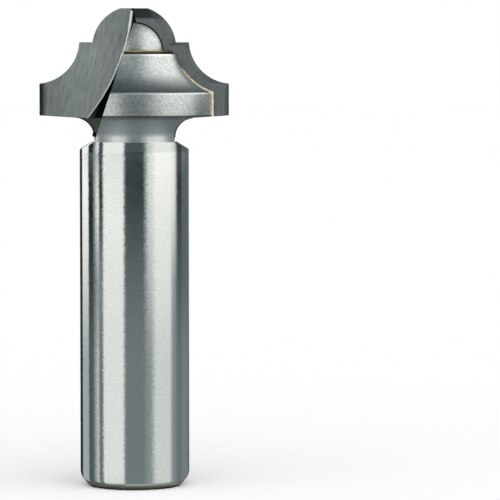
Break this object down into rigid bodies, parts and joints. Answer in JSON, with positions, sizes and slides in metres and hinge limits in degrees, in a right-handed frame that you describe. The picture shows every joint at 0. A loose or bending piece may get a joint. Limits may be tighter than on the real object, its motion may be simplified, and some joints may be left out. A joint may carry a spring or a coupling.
{
  "type": "router bit",
  "caption": "Carbide-tipped router bit with a straight round shank that cuts a classical profile: a round nose with a step and a cove on each side.",
  "frame": {"origin": "centre of the shank's end face, on the tool's axis of rotation", "axes": "+Z along the axis from the shank's end to the cutting tip; the cutting edges lie in the XZ plane, the first cutter at -X with its rake face towards -Y and the second at +X with its rake face towards +Y"},
  "size_m": [0.022, 0.0182, 0.0555],
  "materials": {
    "ground_steel": "ground and satin-finished tool steel",
    "tungsten_carbide": "diamond-ground tungsten carbide",
    "silver_solder": "silver solder as it flowed"
  },
  "bodies": {
    "root": {"steel_body": "ground_steel", "carbide_cutter_a": "tungsten_carbide", "carbide_cutter_b": "tungsten_carbide", "braze_joint_a": "silver_solder", "braze_joint_b": "silver_solder"}
  },
  "joints": []
}
